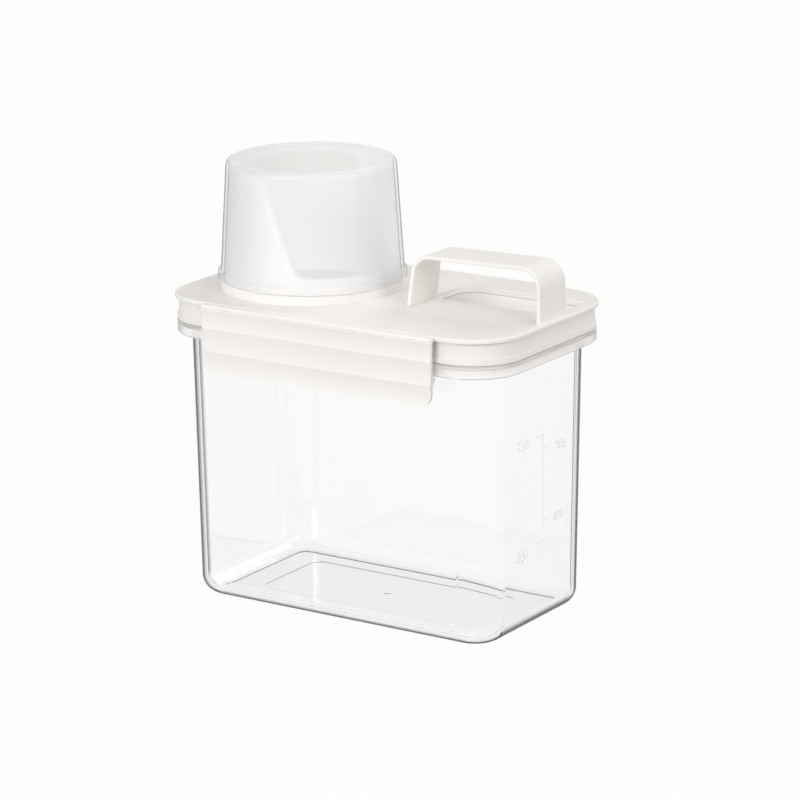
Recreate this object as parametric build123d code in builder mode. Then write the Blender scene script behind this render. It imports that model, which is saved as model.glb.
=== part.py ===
from build123d import *
from math import atan2, degrees
import os

# Washing powder container: a clear moulded box with a white snap lid, a pour spout under a
# measuring cup and a strap handle over a finger pocket. Millimetres, +Z up. The origin is at the
# middle of the base, on the floor. The cup stands at -X, the handle at +X, the front latch at -Y.

# Overall plan, shared by the lid, the collar and the walls
lid_length = 156.0
lid_depth = 93.0
lid_corner = 21.5

# Container
wall = 2.2
wall_inset = 6.4
foot_inset = 8.3
base_fillet = 7.4
shoulder_height = 110.8
neck_height = 8.8
collar_inset = 0.7
collar_wall = 1.8
collar_rise = 2.1
collar_height = 5.2
collar_edge = 0.6
foot_land = 2.0
base_recess_depth = 0.5
panel_length = 95.0
panel_width = 40.0
panel_corner = 5.0
panel_depth = 0.3
gate_radius = 1.5

# Lid plate, skirt and plug
seal_space = 2.1
plate_thickness = 1.6
plate_edge = 0.5
skirt_inset = 1.5
skirt_wall = 1.5
skirt_gap = 0.3
skirt_lip_height = 2.0
skirt_lip_proud = 0.6
rim_side_gap = 0.3
plug_gap = 0.8
plug_wall = 1.3
plug_floor_gap = 0.8

# Sealing ring
seal_side_gap = 0.12
seal_body = 1.4
seal_lip_width = 1.0
seal_rim_gap = 0.1

# Measuring cup, upside down on the lid
cup_end_land = 6.7
cup_rest_gap = 0.2
cup_height = 47.5
cup_rim_radius = 36.4
cup_top_radius = 33.4
cup_wall = 1.3
cup_bead_proud = 0.8
cup_bead_height = 3.6
cup_bead_edge = 0.6
cup_roof_fillet = 3.0
cup_ceiling_fillet = 0.8

# Boss and ring that carry the cup, and the pour spout that stands on the ring
boss_radius = 36.0
boss_height = 3.5
cup_ring_gap = 0.35
cup_ring_height = 8.0
spout_ledge = 0.55
spout_wall = 1.6
spout_roof_gap = 2.4
spout_low = 9.5
spout_draft = 6.4
mouth_start = -2.4
mouth_end = 13.4
mouth_bend = 5.0

# Strap handle, and the recess and finger pocket under it
handle_end_land = 2.7
handle_span = 58.3
handle_left_lean = 2.6
handle_right_lean = 0.4
handle_height = 21.3
handle_left_drop = 1.1
handle_top_width = 18.8
handle_foot_width = 20.4
handle_thickness = 1.5
handle_edge = 0.4
handle_shoulder = 7.5
recess_front = -12.4
recess_back = 30.4
recess_depth = 0.7
recess_corner = 3.0
recess_back_corner = 10.0
pocket_front = 8.5
pocket_land = 1.3
pocket_depth = 7.0
pocket_corner = 4.0
pocket_shell = 1.3
pocket_taper = 4.0
pocket_floor_fillet = 1.8
pocket_mouth_edge = 1.0

# Snap latches, one on each long side
latch_width = 104.8
latch_height = 26.2
latch_thickness = 1.8
latch_stand_off = 3.1
latch_lines = (17.0, 7.8)
latch_scoop = 0.45
latch_groove = 0.3
latch_hinge_gap = 0.3
latch_hinge_step = 0.35
latch_top_drop = 0.2
latch_shoulder = 1.2
latch_corner = 4.5
catch_gap = 0.3
catch_height = 1.0
catch_top_slope = 1.0
catch_low_slope = 1.6

# Places that follow from the sizes above
half_length = lid_length / 2
half_depth = lid_depth / 2
wall_draft = degrees(atan2(foot_inset - wall_inset, shoulder_height))
rim_height = shoulder_height + neck_height
collar_top = shoulder_height + collar_rise
collar_bottom = collar_top - collar_height
plate_bottom = rim_height + seal_space
plate_top = plate_bottom + plate_thickness
skirt_bottom = collar_top + skirt_gap
skirt_inner_inset = skirt_inset + skirt_wall
neck_inset = skirt_inner_inset + rim_side_gap
neck_inner_inset = neck_inset + wall
plug_inset = neck_inner_inset + plug_gap
plug_inner_inset = plug_inset + plug_wall
plug_bottom = shoulder_height + wall + plug_floor_gap
cup_x = -half_length + cup_end_land + cup_rim_radius + cup_bead_proud
cup_ring_radius = cup_rim_radius - cup_wall - cup_ring_gap
cup_ring_top = plate_top + cup_ring_height
spout_radius = cup_ring_radius - spout_ledge
cup_bottom = plate_top + boss_height + cup_rest_gap
cup_top = cup_bottom + cup_height
spout_top = cup_top - cup_wall - spout_roof_gap
handle_right = half_length - handle_end_land
handle_left = handle_right - handle_span
recess_left = handle_left + handle_thickness / 2
recess_right = handle_right - handle_thickness / 2
recess_floor = plate_top - recess_depth
latch_top = plate_top - latch_top_drop
latch_bottom = latch_top - latch_height
near = 0.01


def plan(inset, mode=Mode.ADD):
    """The rounded rectangle that every ring of the box shares, pulled in by inset."""
    return RectangleRounded(
        lid_length - 2 * inset, lid_depth - 2 * inset, lid_corner - inset, mode=mode
    )


def ring(outer_inset, inner_inset):
    """A band of that rounded rectangle between two insets."""
    plan(outer_inset)
    plan(inner_inset, mode=Mode.SUBTRACT)


def outline_at(found, height):
    """The outer edges of the widest flat face at a height."""
    level = found.filter_by_position(Axis.Z, height - near, height + near)
    return level.sort_by(SortBy.AREA)[-1].outer_wire().edges()


def well_plan(left, right, front, back, corner, back_left_corner):
    """A rounded rectangle between four lines, with a larger corner at its back left."""
    with Locations(((left + right) / 2, (front + back) / 2)):
        Rectangle(right - left, back - front)
    back_left = vertices().group_by(Axis.Y)[-1].sort_by(Axis.X)[0]
    fillet(vertices() - [back_left], corner)
    fillet(vertices().group_by(Axis.Y)[-1].sort_by(Axis.X)[0], back_left_corner)


def pocket_plan(grow=0.0):
    """The deep pocket's plan, grown by grow: its right end is the plug's inner face."""
    well_plan(
        recess_left + pocket_land - grow,
        half_length - plug_inner_inset + grow,
        pocket_front - grow,
        recess_back - pocket_land + grow,
        pocket_corner + grow,
        recess_back_corner - pocket_land + grow,
    )


# Container: tapered walls, a shoulder that steps out to the neck, and the collar round it
with BuildPart() as container:
    with BuildSketch():
        plan(foot_inset)
    extrude(amount=shoulder_height, taper=-wall_draft)
    fillet(faces().sort_by(Axis.Z)[0].edges(), base_fillet)
    with BuildSketch(Plane.XY.offset(shoulder_height)):
        plan(neck_inset)
    extrude(amount=neck_height)
    offset(amount=-wall, openings=faces().sort_by(Axis.Z)[-1])
    with BuildSketch(Plane.XY.offset(collar_top - collar_wall)):
        ring(collar_inset, neck_inset)
    extrude(amount=collar_wall)
    with BuildSketch(Plane.XY.offset(collar_bottom)):
        ring(collar_inset, collar_inset + collar_wall)
    extrude(amount=collar_height)
    chamfer(outline_at(faces(), collar_top) + outline_at(faces(), collar_bottom), collar_edge)
    with BuildSketch():
        plan(foot_inset + base_fillet + foot_land)
    extrude(amount=base_recess_depth, mode=Mode.SUBTRACT)
    with BuildSketch():
        RectangleRounded(panel_length, panel_width, panel_corner)
        Circle(gate_radius, mode=Mode.SUBTRACT)
    extrude(amount=base_recess_depth + panel_depth, mode=Mode.SUBTRACT)
container.part.label = "container"

# The space of the recess under the handle and of the finger pocket behind it
with BuildPart() as pocket:
    with BuildSketch(Plane.XY.offset(recess_floor)):
        pocket_plan()
    extrude(amount=recess_depth - pocket_depth, taper=pocket_taper)
    fillet(faces().sort_by(Axis.Z)[0].edges(), pocket_floor_fillet)
    with BuildSketch(Plane.XY.offset(recess_floor)):
        well_plan(
            recess_left, recess_right, recess_front, recess_back, recess_corner, recess_back_corner
        )
    extrude(amount=recess_depth)
    ledge = faces().filter_by_position(Axis.Z, recess_floor - near, recess_floor + near)
    chamfer(ledge.sort_by(SortBy.AREA)[-1].inner_wires()[0].edges(), pocket_mouth_edge)

# Strap handle: a flat band bent down at both ends, a little wider at its feet
with BuildPart() as handle:
    strap_top = plate_top + handle_height - handle_thickness / 2
    foot = plate_bottom + plate_thickness / 4
    with BuildSketch(Plane.XZ):
        with BuildLine():
            FilletPolyline(
                (handle_left, foot),
                (handle_left + handle_left_lean, strap_top - handle_left_drop),
                (handle_right - handle_right_lean, strap_top),
                (handle_right, foot),
                radius=handle_shoulder,
            )
        trace(line_width=handle_thickness)
    extrude(amount=handle_foot_width / 2, both=True)
    with BuildSketch(Plane.YZ):
        with BuildLine():
            Polyline(
                (-handle_foot_width / 2, foot - handle_thickness),
                (handle_foot_width / 2, foot - handle_thickness),
                (handle_top_width / 2, plate_top + handle_height),
                (-handle_top_width / 2, plate_top + handle_height),
                close=True,
            )
        make_face()
    extrude(amount=lid_length, both=True, mode=Mode.INTERSECT)
    strap_sides = faces().sort_by(Axis.Y)[0].edges() + faces().sort_by(Axis.Y)[-1].edges()
    chamfer(strap_sides.filter_by(lambda edge: edge.center().Z > plate_top), handle_edge)

# Lid: the spout with its scooped mouth, then the plate, the rings, the plug and the pocket
with BuildPart() as lid:
    with BuildSketch(Plane.XY.offset(cup_ring_top)):
        with Locations((cup_x, 0)):
            Circle(spout_radius)
    extrude(amount=spout_top - cup_ring_top + spout_wall, taper=spout_draft)
    with BuildSketch(Plane.XZ):
        with BuildLine():
            mouth = FilletPolyline(
                (cup_x - boss_radius, spout_top),
                (cup_x + mouth_start, spout_top),
                (cup_x + mouth_end, plate_top + spout_low),
                (cup_x + boss_radius, plate_top + spout_low),
                radius=mouth_bend,
            )
            Polyline(
                mouth @ 1,
                (cup_x + boss_radius, cup_top),
                (cup_x - boss_radius, cup_top),
                mouth @ 0,
            )
        make_face()
    extrude(amount=boss_radius, both=True, mode=Mode.SUBTRACT)

    with BuildSketch(Plane.XY.offset(plate_bottom)):
        plan(0)
    extrude(amount=plate_thickness)
    chamfer(outline_at(faces(), plate_top), plate_edge)
    with BuildSketch(Plane.XY.offset(skirt_bottom)):
        ring(skirt_inset, skirt_inner_inset)
    extrude(amount=plate_bottom - skirt_bottom)
    with BuildSketch(Plane.XY.offset(skirt_bottom)):
        ring(skirt_inset - skirt_lip_proud, skirt_inner_inset)
    extrude(amount=skirt_lip_height)
    with BuildSketch(Plane.XY.offset(plug_bottom)):
        ring(plug_inset, plug_inner_inset)
    extrude(amount=plate_bottom - plug_bottom)

    with BuildSketch(Plane.XY.offset(plate_top)):
        with Locations((cup_x, 0)):
            Circle(boss_radius)
    extrude(amount=boss_height)
    with BuildSketch(Plane.XY.offset(plate_top)):
        with Locations((cup_x, 0)):
            Circle(cup_ring_radius)
    extrude(amount=cup_ring_height)
    with BuildSketch(Plane.XY.offset(plate_bottom)):
        with Locations((cup_x, 0)):
            Circle(spout_radius - spout_wall)
    extrude(amount=cup_ring_top - plate_bottom, mode=Mode.SUBTRACT)
    with BuildSketch(Plane.XY.offset(cup_ring_top)):
        with Locations((cup_x, 0)):
            Circle(spout_radius - spout_wall)
    extrude(amount=spout_top - cup_ring_top, taper=spout_draft, mode=Mode.SUBTRACT)

    with BuildSketch(Plane.XY.offset(recess_floor)):
        pocket_plan(grow=pocket_shell)
    extrude(amount=recess_depth - pocket_depth - pocket_shell, taper=pocket_taper)
    add(pocket.part, mode=Mode.SUBTRACT)
    add(handle.part)
lid.part.label = "lid"

# Sealing ring in the groove between the plug and the skirt, with a lip that meets the rim
seal_bottom = rim_height + seal_rim_gap
lip_inset = (neck_inset + neck_inner_inset - seal_lip_width) / 2
with BuildPart() as lid_seal:
    with BuildSketch(Plane.XY.offset(plate_bottom - seal_body)):
        ring(skirt_inner_inset + seal_side_gap, plug_inset - seal_side_gap)
    extrude(amount=seal_body)
    with BuildSketch(Plane.XY.offset(seal_bottom)):
        ring(lip_inset, lip_inset + seal_lip_width)
    extrude(amount=plate_bottom - seal_body - seal_bottom)
lid_seal.part.label = "lid_seal"


def latch(side):
    """One snap latch at rest on the side +1 (back) or -1 (front) of the lid."""

    def at(stand_off, height):
        return (side * (half_depth + stand_off), height)

    inner = latch_stand_off - latch_thickness
    tip = catch_gap - collar_inset
    catch_top = collar_bottom - catch_gap
    face_top = latch_top - latch_shoulder
    with BuildPart() as body:
        with BuildSketch(Plane.YZ):
            with BuildLine():
                top = Polyline(
                    at(inner, latch_top - latch_thickness),
                    at(latch_hinge_gap, latch_top - latch_thickness + latch_hinge_step),
                    at(latch_hinge_gap, latch_top),
                    at(latch_stand_off - latch_shoulder, latch_top),
                )
                TangentArc(top @ 1, at(latch_stand_off, face_top), tangent=(side, 0))
                Polyline(
                    at(latch_stand_off, face_top),
                    at(latch_stand_off - latch_groove, face_top - latch_groove),
                    at(latch_stand_off, face_top - 2 * latch_groove),
                )
                crest = at(latch_stand_off, face_top - 2 * latch_groove)
                for line_height in (*latch_lines, 0):
                    next_crest = at(latch_stand_off, latch_bottom + line_height)
                    SagittaArc(crest, next_crest, -side * latch_scoop)
                    crest = next_crest
                Polyline(
                    crest,
                    at(inner, latch_bottom),
                    at(inner, catch_top - catch_height - catch_low_slope),
                    at(tip, catch_top - catch_height),
                    at(tip, catch_top),
                    at(inner, catch_top + catch_top_slope),
                    at(inner, latch_top - latch_thickness),
                )
            make_face()
        extrude(amount=latch_width / 2, both=True)
        with BuildSketch(Plane.XZ):
            with Locations((0, latch_top - latch_height / 2)):
                Rectangle(latch_width, latch_height)
            fillet(vertices().group_by(Axis.Y)[0], latch_corner)
        extrude(amount=lid_depth, both=True, mode=Mode.INTERSECT)
    return body


front_latch = latch(side=-1)
front_latch.part.label = "front_latch"
back_latch = latch(side=1)
back_latch.part.label = "back_latch"

# Measuring cup: a tapered wall with a rounded roof and a bead round its rim
cup_draft = degrees(atan2(cup_rim_radius - cup_top_radius, cup_height))
with BuildPart() as measuring_cup:
    with BuildSketch(Plane.XY.offset(cup_bottom)):
        with Locations((cup_x, 0)):
            Circle(cup_rim_radius)
    extrude(amount=cup_height, taper=cup_draft)
    fillet(faces().sort_by(Axis.Z)[-1].edges(), cup_roof_fillet)
    with BuildSketch(Plane.XY.offset(cup_bottom)):
        with Locations((cup_x, 0)):
            Circle(cup_rim_radius + cup_bead_proud)
    extrude(amount=cup_bead_height)
    chamfer(outline_at(faces(), cup_bottom + cup_bead_height), cup_bead_edge)
    chamfer(outline_at(faces(), cup_bottom), cup_bead_edge)
    with BuildSketch(Plane.XY.offset(cup_bottom)):
        with Locations((cup_x, 0)):
            Circle(cup_rim_radius - cup_wall)
    extrude(amount=cup_height - cup_wall, taper=cup_draft, mode=Mode.SUBTRACT)
    ceiling = faces().filter_by_position(
        Axis.Z, cup_top - cup_wall - near, cup_top - cup_wall + near
    )
    fillet(ceiling.edges(), cup_ceiling_fillet)
measuring_cup.part.label = "measuring_cup"

os.makedirs("parts", exist_ok=True)
export_step(container.part, "parts/container.step")
export_step(lid.part, "parts/lid.step")
export_step(lid_seal.part, "parts/lid_seal.step")
export_step(front_latch.part, "parts/front_latch.step")
export_step(back_latch.part, "parts/back_latch.step")
export_step(measuring_cup.part, "parts/measuring_cup.step")
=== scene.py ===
import math

import bpy
from mathutils import Matrix, Vector


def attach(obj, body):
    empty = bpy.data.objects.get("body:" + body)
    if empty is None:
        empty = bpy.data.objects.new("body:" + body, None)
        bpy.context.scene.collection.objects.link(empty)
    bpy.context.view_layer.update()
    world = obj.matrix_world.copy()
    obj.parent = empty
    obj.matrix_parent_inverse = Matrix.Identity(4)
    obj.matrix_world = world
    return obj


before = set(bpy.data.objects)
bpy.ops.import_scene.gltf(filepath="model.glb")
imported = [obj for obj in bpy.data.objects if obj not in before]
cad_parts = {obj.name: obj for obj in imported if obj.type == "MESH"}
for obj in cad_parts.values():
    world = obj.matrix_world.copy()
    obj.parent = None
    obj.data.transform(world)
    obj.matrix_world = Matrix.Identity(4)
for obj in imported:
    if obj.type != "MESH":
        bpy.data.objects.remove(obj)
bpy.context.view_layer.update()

# Camera of the photograph, in metres and degrees, for a picture 800 pixels wide
AZIMUTH = 33.32
ELEVATION = 15.18
ROLL = -0.5
DISTANCE = 1.400
FOCAL_PIXELS = 3577.9
PICTURE_PIXELS = 800.0
SENSOR_MM = 36.0
CLIP_START = 0.05
AIM = Vector((0.0064, 0.0, 0.08177))

# Levels of the surround: as it is seen, and as it lights the object
SEEN_WORLD = 0.995
LIT_WORLD_LEFT = 0.66
LIT_WORLD_RIGHT = 0.78
LIT_WORLD_TOP = 0.84
SEEN_FLOOR = 0.93
LIT_FLOOR = 0.46
FLOOR_COLOUR = 0.06
SURROUND_TINT = (1.0, 0.998, 0.99)

# What is left of those levels in a reflection off the object, and in one, then in two or more,
# reflections inside a clear wall
MIRRORED_OUTSIDE = 0.5
MIRRORED_WORLD = (0.72, 0.08)
MIRRORED_FLOOR = (0.95, 0.60)

# The floor's side and its drop under the base, in metres
FLOOR_SIDE = 12.0
FLOOR_DROP = 0.0002

# Soft square lamps: name, place and side in metres, power in watts, and whether gloss mirrors them
LAMPS = (
    ("key", (-0.2, -1.7, 0.7), 0.8, 12.5, True),
    ("side", (1.5, -0.5, 1.0), 0.7, 6.5, False),
    ("rim", (0.3, 1.4, 1.3), 1.0, 8.5, False),
)
LAMP_AIM = Vector((0.0, 0.0, 0.1))

# How much the plastics bend light
PLASTIC_IOR = 1.49
CUP_IOR = 1.50

# The even split between facing and grazing in a Layer Weight
EVEN_BLEND = 0.5

# A limit between whole counts, for a ray's passes and reflections
BETWEEN_COUNTS = 0.5

WHITE = (1.0, 1.0, 1.0)

# The clear box's colour by how much it is seen along: white, grey, and painted shade nearly black
# at its rims
CLEAR_RIM_SHADE_STOPS = (
    (0.50, (1.0, 0.998, 0.997)),
    (0.62, (0.30, 0.32, 0.35)),
    (0.72, (0.004, 0.005, 0.007)),
)
CLEAR_SHADOW = (0.96, 0.96, 0.96)

# Upward parts of a normal between which a clear wall counts as upright and as flat
UPRIGHT_TILT = 0.90
FLAT_TILT = 0.985

# Where a clear wall curves, by its normal: at the upright corners and at the base's fillet. A
# flat wall takes only this share of the painted rim shade when it is seen along.
CORNER_START = (0.03, 0.15)
FILLET_START = (0.05, 0.30)
FLAT_WALL_SHARE = 0.62

# How much of a fillet's painted shade goes where it is seen through a nearer surface
BEHIND_LIGHTER = 0.75

# Heights in metres between which the clear box turns milky, at its thick collar, and its looks
# below and above them
MILKY_HEIGHTS = (0.1072, 0.1077)
MILKY_COLOUR = (0.97, 0.95, 0.945)
CLEAR_TO_MILKY = (("Transmission Weight", (1.0, 0.60)), ("Roughness", (0.015, 0.12)))

# The lid's white in its noise's dark and light places
WHITE_NOISE_SCALE = 22.0
WHITE_NOISE_DETAIL = 4.0
WHITE_STOPS = (
    (0.35, (0.895, 0.870, 0.842)),
    (0.65, (0.912, 0.888, 0.860)),
)
WHITE_ROUGHNESS = 0.42
WHITE_SUBSURFACE = 0.12
WHITE_SUBSURFACE_RADIUS = (1.0, 0.9, 0.8)
SUBSURFACE_SCALE = 0.002

# Painted shade on the lid where little light reaches: the recess under the handle, and the gap
# between the plate's edge and the skirt
RECESS_ACROSS = (0.0170, 0.0747)
RECESS_DEEP = (-0.01245, 0.03045)
RECESS_HEIGHTS = (0.1140, 0.1229)
RECESS_SHADE = 0.06
PLATE_GAP = (0.1212, 0.12171)
PLATE_GAP_SHADE = 0.25

# The cup's colour by how much it is seen along: white, then its bluish tint, and painted shade
# dark at its rims
CUP_TINT_AND_RIM_SHADE_STOPS = (
    (0.12, (0.97, 0.97, 0.975)),
    (0.34, (0.84, 0.85, 0.885)),
    (0.80, (0.84, 0.85, 0.885)),
    (0.90, (0.12, 0.12, 0.15)),
)
CUP_ROUGHNESS = 0.12
CUP_SHADOW = (0.86, 0.86, 0.86)

# The cup's haze, face on and seen along, and the upward part of a normal at its roof
HAZE_FACING = (0.82, 0.90)
HAZE = (0.36, 0.90)
ROOF_TILT = (0.75, 0.97)

# The seal's and the moulded scale's looks
SEAL_COLOUR = (0.80, 0.80, 0.79)
SEAL_ROUGHNESS = 0.6
SEAL_SUBSURFACE = 0.3
SCALE_COLOUR = (0.66, 0.68, 0.71)
SCALE_ROUGHNESS = 0.35
SCALE_ALPHA = 0.18

# Fine uneven surfaces: scale, strength, distance in metres and detail
CLEAR_WAVES = (18.0, 0.04, 0.0006, 1.0)
MOULD_GRAIN = (900.0, 0.10, 0.00005, 3.0)
CUP_GRAIN = (700.0, 0.12, 0.00006, 3.0)
SEAL_GRAIN = (500.0, 0.2, 0.00005, 3.0)

# The right end wall's outer face, in metres: where it meets the floor, and how it leans out
END_WALL_FOOT = 0.0697
END_WALL_LEAN = 0.0019 / 0.1108

# The moulded scale on that wall, in metres across (Y) and up (Z)
SCALE_PROUD = 0.00015
SCALE_LINE_WIDTH = 0.0005
SCALE_LINES = (
    ((-0.0050, 0.0772), (0.0009, 0.0768), (0.0022, 0.0345), (0.0012, 0.0335), (-0.0030, 0.0334)),
    ((0.0012, 0.0716), (0.0072, 0.0716)),
    ((0.0021, 0.0423), (0.0066, 0.0423)),
)
SCALE_NUMBERS = (
    ("750", -0.0138, 0.0740),
    ("700", 0.0140, 0.0682),
    ("400", 0.0135, 0.0397),
    ("300", -0.0130, 0.0297),
)
SCALE_NUMBER_SIZE = 0.0056


def add_camera():
    """The photograph's view of the object."""
    azimuth = math.radians(AZIMUTH)
    elevation = math.radians(ELEVATION)
    roll = math.radians(ROLL)
    back = Vector((
        math.sin(azimuth) * math.cos(elevation),
        -math.cos(azimuth) * math.cos(elevation),
        math.sin(elevation),
    ))
    right = Vector((math.cos(azimuth), math.sin(azimuth), 0.0))
    up = back.cross(right)
    rolled_right = right * math.cos(roll) + up * math.sin(roll)
    rolled_up = -right * math.sin(roll) + up * math.cos(roll)
    data = bpy.data.cameras.new("camera")
    data.sensor_width = SENSOR_MM
    data.lens = FOCAL_PIXELS / PICTURE_PIXELS * SENSOR_MM
    data.clip_start = CLIP_START
    camera = bpy.data.objects.new("camera", data)
    bpy.context.scene.collection.objects.link(camera)
    turn = Matrix((rolled_right, rolled_up, back)).transposed().to_4x4()
    camera.matrix_world = Matrix.Translation(AIM + back * DISTANCE) @ turn
    bpy.context.scene.camera = camera


def new_material(name):
    """An empty node material and its output node."""
    material = bpy.data.materials.new(name)
    material.use_nodes = True
    nodes = material.node_tree.nodes
    nodes.clear()
    output = nodes.new("ShaderNodeOutputMaterial")
    return material, nodes, material.node_tree.links, output


def feed(links, socket, value):
    """A number or another node's socket into a socket."""
    if isinstance(value, float):
        socket.default_value = value
    else:
        links.new(value, socket)


def math_node(nodes, links, operation, first, second=0.0):
    """The result of one sum on sockets or numbers."""
    node = nodes.new("ShaderNodeMath")
    node.operation = operation
    feed(links, node.inputs[0], first)
    feed(links, node.inputs[1], second)
    return node.outputs[0]


def map_range(nodes, links, value, source, target):
    """A value moved from one range to another, and held at its ends."""
    node = nodes.new("ShaderNodeMapRange")
    links.new(value, node.inputs["Value"])
    feed(links, node.inputs["From Min"], source[0])
    feed(links, node.inputs["From Max"], source[1])
    feed(links, node.inputs["To Min"], target[0])
    feed(links, node.inputs["To Max"], target[1])
    return node.outputs["Result"]


def colour_ramp(nodes, links, value, stops):
    """A colour by a value: each stop is a position and a colour."""
    node = nodes.new("ShaderNodeValToRGB")
    elements = node.color_ramp.elements
    for element, (position, colour) in zip((elements[0], elements[1]), (stops[0], stops[-1])):
        element.position = position
        element.color = (*colour, 1.0)
    for position, colour in stops[1:-1]:
        elements.new(position).color = (*colour, 1.0)
    links.new(value, node.inputs["Fac"])
    return node.outputs["Color"]


def mix_colours(nodes, links, factor, first, second):
    """A blend from one colour socket to a plain colour."""
    node = nodes.new("ShaderNodeMix")
    node.data_type = "RGBA"
    links.new(factor, node.inputs["Factor"])
    links.new(first, node.inputs["A"])
    node.inputs["B"].default_value = (*second, 1.0)
    return node.outputs["Result"]


def noise_bump(nodes, links, scale, strength, distance, detail):
    """A fine uneven surface, as a Normal for a shader."""
    place = nodes.new("ShaderNodeTexCoord")
    noise = nodes.new("ShaderNodeTexNoise")
    noise.inputs["Scale"].default_value = scale
    noise.inputs["Detail"].default_value = detail
    bump = nodes.new("ShaderNodeBump")
    bump.inputs["Strength"].default_value = strength
    bump.inputs["Distance"].default_value = distance
    links.new(place.outputs["Object"], noise.inputs["Vector"])
    links.new(noise.outputs["Fac"], bump.inputs["Height"])
    return bump.outputs["Normal"]


def split_vector(nodes, links, vector):
    """The X, Y and Z sockets of a vector."""
    node = nodes.new("ShaderNodeSeparateXYZ")
    links.new(vector, node.inputs["Vector"])
    return node.outputs


def seen_along(nodes):
    """How much a surface is seen along: 0 face on, 1 at its outline."""
    node = nodes.new("ShaderNodeLayerWeight")
    node.inputs["Blend"].default_value = EVEN_BLEND
    return node.outputs["Facing"]


def lamps_pass(nodes, links, shader, tint):
    """The shader, but see-through for rays from lamps, so that what is inside is lit."""
    path = nodes.new("ShaderNodeLightPath")
    clear = nodes.new("ShaderNodeBsdfTransparent")
    clear.inputs["Color"].default_value = (*tint, 1.0)
    mix = nodes.new("ShaderNodeMixShader")
    links.new(path.outputs["Is Shadow Ray"], mix.inputs["Fac"])
    links.new(shader.outputs[0], mix.inputs[1])
    links.new(clear.outputs[0], mix.inputs[2])
    return mix.outputs[0]


def painted_rim_shade(nodes, links, place):
    """The clear box's painted rim shade: dark where its curves are seen along, less so behind a
    wall.
    """
    normal = split_vector(nodes, links, place.outputs["Normal"])
    steep = math_node(nodes, links, "ABSOLUTE", normal["Z"])
    product = math_node(nodes, links, "MULTIPLY", normal["X"], normal["Y"])
    corner = math_node(nodes, links, "ABSOLUTE", product)
    upright = map_range(nodes, links, steep, (UPRIGHT_TILT, FLAT_TILT), (1.0, 0.0))
    at_corner = map_range(nodes, links, corner, CORNER_START, (FLAT_WALL_SHARE, 1.0))
    at_fillet = map_range(nodes, links, steep, FILLET_START, (FLAT_WALL_SHARE, 1.0))
    curved = math_node(nodes, links, "MAXIMUM", at_corner, at_fillet)
    rims = math_node(nodes, links, "MULTIPLY", upright, curved)
    along = math_node(nodes, links, "MULTIPLY", seen_along(nodes), rims)
    # painted shade: the box's colour darkened where its curves are seen along
    shade = colour_ramp(nodes, links, along, CLEAR_RIM_SHADE_STOPS)
    passed = nodes.new("ShaderNodeLightPath").outputs["Transmission Depth"]
    behind = math_node(nodes, links, "GREATER_THAN", passed, 1 + BETWEEN_COUNTS)
    lighter = map_range(nodes, links, steep, FILLET_START, (0.0, BEHIND_LIGHTER))
    share = math_node(nodes, links, "MULTIPLY", behind, lighter)
    return mix_colours(nodes, links, share, shade, WHITE)


def clear_plastic():
    """Clear moulded plastic, milky at the box's collar, with painted shade at its rims."""
    material, nodes, links, output = new_material("clear_plastic")
    plastic = nodes.new("ShaderNodeBsdfPrincipled")
    plastic.inputs["IOR"].default_value = PLASTIC_IOR
    place = nodes.new("ShaderNodeTexCoord")
    height = split_vector(nodes, links, place.outputs["Object"])["Z"]
    milky = map_range(nodes, links, height, MILKY_HEIGHTS, (0.0, 1.0))
    # painted shade at the box's rims
    rims = painted_rim_shade(nodes, links, place)
    colour = mix_colours(nodes, links, milky, rims, MILKY_COLOUR)
    links.new(colour, plastic.inputs["Base Color"])
    for name, clear_to_milky in CLEAR_TO_MILKY:
        level = map_range(nodes, links, milky, (0.0, 1.0), clear_to_milky)
        links.new(level, plastic.inputs[name])
    links.new(noise_bump(nodes, links, *CLEAR_WAVES), plastic.inputs["Normal"])
    links.new(lamps_pass(nodes, links, plastic, CLEAR_SHADOW), output.inputs["Surface"])
    return material


def painted_shade_share(nodes, links, place):
    """How bright the lid's colour is painted by place: painted shade in the gap under the plate
    and in the recess.
    """
    sides = split_vector(nodes, links, place.outputs["Object"])

    def within(axis, low, high):
        node = nodes.new("ShaderNodeMath")
        node.operation = "COMPARE"
        node.inputs[1].default_value = (low + high) / 2
        node.inputs[2].default_value = (high - low) / 2
        links.new(sides[axis], node.inputs[0])
        return node.outputs[0]

    across = within("X", *RECESS_ACROSS)
    deep = within("Y", *RECESS_DEEP)
    in_plan = math_node(nodes, links, "MULTIPLY", across, deep)
    sunk = math_node(nodes, links, "MULTIPLY", in_plan, within("Z", *RECESS_HEIGHTS))
    sunk_shade = math_node(nodes, links, "MULTIPLY", sunk, RECESS_SHADE)
    gap_shade = math_node(nodes, links, "MULTIPLY", within("Z", *PLATE_GAP), PLATE_GAP_SHADE)
    both = math_node(nodes, links, "ADD", sunk_shade, gap_shade)
    return math_node(nodes, links, "SUBTRACT", 1.0, both)


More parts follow.
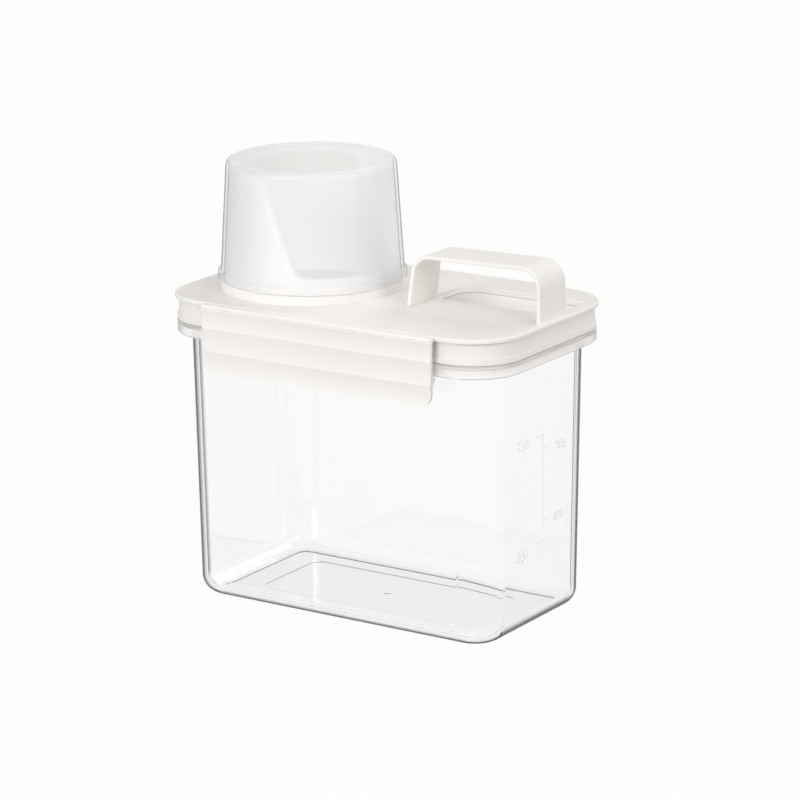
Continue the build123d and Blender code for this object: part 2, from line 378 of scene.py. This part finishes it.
def white_plastic(name, painted_shade):
    """Warm white satin plastic of the lid, with painted shade in its recess and under its plate,
    and of the latches.
    """
    material, nodes, links, output = new_material(name)
    plastic = nodes.new("ShaderNodeBsdfPrincipled")
    plastic.inputs["Roughness"].default_value = WHITE_ROUGHNESS
    plastic.inputs["IOR"].default_value = PLASTIC_IOR
    plastic.inputs["Subsurface Weight"].default_value = WHITE_SUBSURFACE
    plastic.inputs["Subsurface Radius"].default_value = WHITE_SUBSURFACE_RADIUS
    plastic.inputs["Subsurface Scale"].default_value = SUBSURFACE_SCALE
    place = nodes.new("ShaderNodeTexCoord")
    cloud = nodes.new("ShaderNodeTexNoise")
    cloud.inputs["Scale"].default_value = WHITE_NOISE_SCALE
    cloud.inputs["Detail"].default_value = WHITE_NOISE_DETAIL
    links.new(place.outputs["Object"], cloud.inputs["Vector"])
    colour = colour_ramp(nodes, links, cloud.outputs["Fac"], WHITE_STOPS)
    if painted_shade:
        # painted shade: the white darkened in the recess and under the plate's edge
        shade = nodes.new("ShaderNodeVectorMath")
        shade.operation = "SCALE"
        links.new(colour, shade.inputs[0])
        links.new(painted_shade_share(nodes, links, place), shade.inputs["Scale"])
        colour = shade.outputs["Vector"]
    links.new(colour, plastic.inputs["Base Color"])
    links.new(noise_bump(nodes, links, *MOULD_GRAIN), plastic.inputs["Normal"])
    links.new(plastic.outputs[0], output.inputs["Surface"])
    return material


def frosted_plastic():
    """Frosted see-through plastic of the measuring cup, with painted shade at its rims."""
    material, nodes, links, output = new_material("frosted_plastic")
    plastic = nodes.new("ShaderNodeBsdfPrincipled")
    plastic.inputs["Roughness"].default_value = CUP_ROUGHNESS
    plastic.inputs["IOR"].default_value = CUP_IOR
    place = nodes.new("ShaderNodeTexCoord")
    normal = split_vector(nodes, links, place.outputs["Normal"])
    steep = math_node(nodes, links, "ABSOLUTE", normal["Z"])
    upright = map_range(nodes, links, steep, ROOF_TILT, (1.0, 0.0))
    along = math_node(nodes, links, "MULTIPLY", seen_along(nodes), upright)
    # painted shade: the cup's colour darkened where its side wall is seen along
    links.new(colour_ramp(nodes, links, along, CUP_TINT_AND_RIM_SHADE_STOPS), plastic.inputs["Base Color"])
    links.new(map_range(nodes, links, along, HAZE_FACING, HAZE), plastic.inputs["Alpha"])
    links.new(noise_bump(nodes, links, *CUP_GRAIN), plastic.inputs["Normal"])
    links.new(lamps_pass(nodes, links, plastic, CUP_SHADOW), output.inputs["Surface"])
    return material


def scale_plastic():
    """The faintly milky plastic of the moulded scale."""
    material, nodes, links, output = new_material("scale_plastic")
    plastic = nodes.new("ShaderNodeBsdfPrincipled")
    plastic.inputs["Base Color"].default_value = (*SCALE_COLOUR, 1.0)
    plastic.inputs["Roughness"].default_value = SCALE_ROUGHNESS
    plastic.inputs["Alpha"].default_value = SCALE_ALPHA
    links.new(noise_bump(nodes, links, *MOULD_GRAIN), plastic.inputs["Normal"])
    links.new(plastic.outputs[0], output.inputs["Surface"])
    return material


def seal_rubber():
    """Milky silicone of the sealing ring."""
    material, nodes, links, output = new_material("seal_rubber")
    rubber = nodes.new("ShaderNodeBsdfPrincipled")
    rubber.inputs["Base Color"].default_value = (*SEAL_COLOUR, 1.0)
    rubber.inputs["Roughness"].default_value = SEAL_ROUGHNESS
    rubber.inputs["Subsurface Weight"].default_value = SEAL_SUBSURFACE
    rubber.inputs["Subsurface Scale"].default_value = SUBSURFACE_SCALE
    links.new(noise_bump(nodes, links, *SEAL_GRAIN), rubber.inputs["Normal"])
    links.new(rubber.outputs[0], output.inputs["Surface"])
    return material


def dress(node, material):
    """The material on a node of the frame."""
    mesh_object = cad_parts[node]
    mesh_object.data.materials.clear()
    mesh_object.data.materials.append(material)


def surround_level(nodes, links, lit, seen, mirrored):
    """How bright the surround is: lit for rays that light surfaces, seen for the rest.

    Mirrored rays see it darker, and most of all those that were mirrored again and again inside
    a clear wall, as at clear plastic's rims."""
    path = nodes.new("ShaderNodeLightPath").outputs
    straight = math_node(nodes, links, "MAXIMUM", path["Is Camera Ray"], path["Is Glossy Ray"])
    looks = math_node(nodes, links, "MAXIMUM", straight, path["Is Transmission Ray"])
    level = map_range(nodes, links, looks, (0.0, 1.0), (lit, seen))
    inside = math_node(
        nodes, links, "GREATER_THAN", path["Transmission Depth"], BETWEEN_COUNTS
    )
    outside = math_node(nodes, links, "SUBTRACT", 1.0, inside)
    sheen = math_node(nodes, links, "MULTIPLY", outside, path["Is Glossy Ray"])
    loss = math_node(nodes, links, "MULTIPLY", sheen, 1.0 - MIRRORED_OUTSIDE)
    kept = math_node(nodes, links, "SUBTRACT", 1.0, loss)
    result = math_node(nodes, links, "MULTIPLY", level, kept)
    for times, share in enumerate(mirrored):
        limit = times + BETWEEN_COUNTS
        more = math_node(nodes, links, "GREATER_THAN", path["Glossy Depth"], limit)
        within_wall = math_node(nodes, links, "MULTIPLY", more, inside)
        darker = map_range(nodes, links, within_wall, (0.0, 1.0), (1.0, share))
        result = math_node(nodes, links, "MULTIPLY", result, darker)
    return result


def add_floor():
    """A plain white floor that keeps a soft shadow."""
    material, nodes, links, output = new_material("floor")
    matte = nodes.new("ShaderNodeBsdfDiffuse")
    matte.inputs["Color"].default_value = (FLOOR_COLOUR, FLOOR_COLOUR, FLOOR_COLOUR, 1.0)
    glow = nodes.new("ShaderNodeEmission")
    glow.inputs["Color"].default_value = (*SURROUND_TINT, 1.0)
    level = surround_level(nodes, links, LIT_FLOOR, SEEN_FLOOR, MIRRORED_FLOOR)
    links.new(level, glow.inputs["Strength"])
    both = nodes.new("ShaderNodeAddShader")
    links.new(matte.outputs[0], both.inputs[0])
    links.new(glow.outputs[0], both.inputs[1])
    links.new(both.outputs[0], output.inputs["Surface"])
    bpy.ops.mesh.primitive_plane_add(size=FLOOR_SIDE, location=(0.0, 0.0, -FLOOR_DROP))
    floor = bpy.context.object
    floor.name = "floor"
    floor.data.materials.append(material)


def light_world():
    """A white surround, dimmer as a light than as a background, and dimmest from the left."""
    world = bpy.data.worlds.new("studio")
    bpy.context.scene.world = world
    world.use_nodes = True
    nodes = world.node_tree.nodes
    links = world.node_tree.links
    nodes.clear()
    output = nodes.new("ShaderNodeOutputWorld")
    background = nodes.new("ShaderNodeBackground")
    background.inputs["Color"].default_value = (*SURROUND_TINT, 1.0)
    place = nodes.new("ShaderNodeTexCoord")
    direction = split_vector(nodes, links, place.outputs["Generated"])
    from_left = (LIT_WORLD_LEFT, LIT_WORLD_RIGHT)
    side = map_range(nodes, links, direction["X"], (-1.0, 1.0), from_left)
    above = map_range(nodes, links, direction["Z"], (0.0, 1.0), (1.0, LIT_WORLD_TOP))
    lit = math_node(nodes, links, "MULTIPLY", side, above)
    level = surround_level(nodes, links, lit, SEEN_WORLD, MIRRORED_WORLD)
    links.new(level, background.inputs["Strength"])
    links.new(background.outputs[0], output.inputs["Surface"])


def add_lamp(name, place, side, power, mirrored):
    """A soft square lamp, which gloss mirrors or not."""
    data = bpy.data.lights.new(name, "AREA")
    data.size = side
    data.energy = power
    lamp = bpy.data.objects.new(name, data)
    bpy.context.scene.collection.objects.link(lamp)
    lamp.visible_glossy = mirrored
    lamp.location = place
    lamp.rotation_euler = (LAMP_AIM - Vector(place)).to_track_quat("-Z", "Y").to_euler()


def scale_place(across, up):
    """A point on the right end wall's outer face."""
    return Vector((END_WALL_FOOT + END_WALL_LEAN * up, across, up))


def scale_lines():
    """The scale's upright line and its two marks, as thin round bars."""
    lines = bpy.data.curves.new("scale_lines", "CURVE")
    lines.dimensions = "3D"
    lines.bevel_depth = SCALE_LINE_WIDTH / 2
    lines.bevel_resolution = 1
    for route in SCALE_LINES:
        spline = lines.splines.new("POLY")
        spline.points.add(len(route) - 1)
        for point, (across, up) in zip(spline.points, route):
            point.co = (*scale_place(across, up), 1.0)
    return bpy.data.objects.new("scale_lines", lines)


def scale_number(number, across, up):
    """One number of the scale, standing on the leaning wall."""
    up_wall = Vector((END_WALL_LEAN, 0.0, 1.0)).normalized()
    along_wall = Vector((0.0, 1.0, 0.0))
    turn = Matrix((along_wall, up_wall, along_wall.cross(up_wall))).transposed().to_4x4()
    text = bpy.data.curves.new("scale_" + number, "FONT")
    text.body = number
    text.size = SCALE_NUMBER_SIZE
    text.align_x = "CENTER"
    text.extrude = SCALE_PROUD
    piece = bpy.data.objects.new("scale_" + number, text)
    piece.matrix_world = Matrix.Translation(scale_place(across, up)) @ turn
    return piece


def add_scale(material):
    """The faint moulded scale on the right end wall: lines and plain numbers."""
    pieces = [scale_lines()]
    pieces += [scale_number(*number) for number in SCALE_NUMBERS]
    for piece in pieces:
        bpy.context.scene.collection.objects.link(piece)
        piece.data.materials.append(material)
        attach(piece, "container")


add_camera()
light_world()
add_floor()
for lamp in LAMPS:
    add_lamp(*lamp)

dress("container", clear_plastic())
dress("lid", white_plastic("lid_plastic", painted_shade=True))
latch_plastic = white_plastic("latch_plastic", painted_shade=False)
dress("front_latch", latch_plastic)
dress("back_latch", latch_plastic)
dress("lid_seal", seal_rubber())
dress("measuring_cup", frosted_plastic())
add_scale(scale_plastic())

bpy.context.scene.view_settings.view_transform = "Standard"
